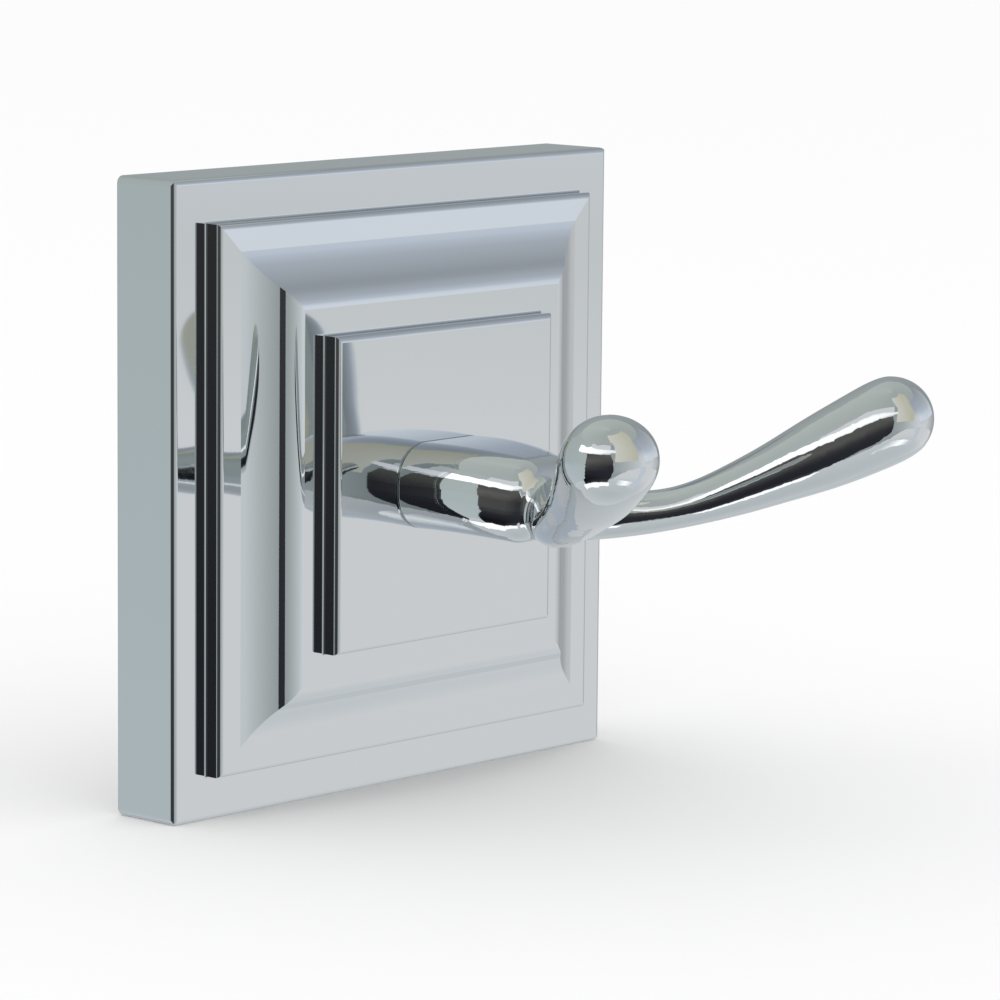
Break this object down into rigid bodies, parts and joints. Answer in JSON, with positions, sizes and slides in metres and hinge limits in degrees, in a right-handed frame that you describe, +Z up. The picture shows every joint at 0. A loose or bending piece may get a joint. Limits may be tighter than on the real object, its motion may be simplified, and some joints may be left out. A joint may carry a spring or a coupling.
{
  "type": "robe hook",
  "caption": "Robe hook with forked prongs ending in rounded drops, on an oval stem and a square stepped wall plate that seats over a hidden wall bracket; polished chrome.",
  "frame": {"origin": "centre of the wall face, in the plane of the plate's rim and the bracket's back", "axes": "+Z up, +X to the right seen from the room, +Y into the wall, the hook stands out along -Y"},
  "size_m": [0.076, 0.0706, 0.076],
  "materials": {
    "plate_chrome": "mirror polished chrome plate",
    "hook_chrome": "mirror polished chrome plate",
    "screw_steel": "zinc plated, machined",
    "bracket_steel": "zinc plated sheet"
  },
  "bodies": {
    "root": {"wall_plate": "plate_chrome", "double_hook": "hook_chrome", "hook_screw": "screw_steel", "lock_washer": "screw_steel", "wall_bracket": "bracket_steel", "set_screw": "screw_steel"}
  },
  "joints": []
}
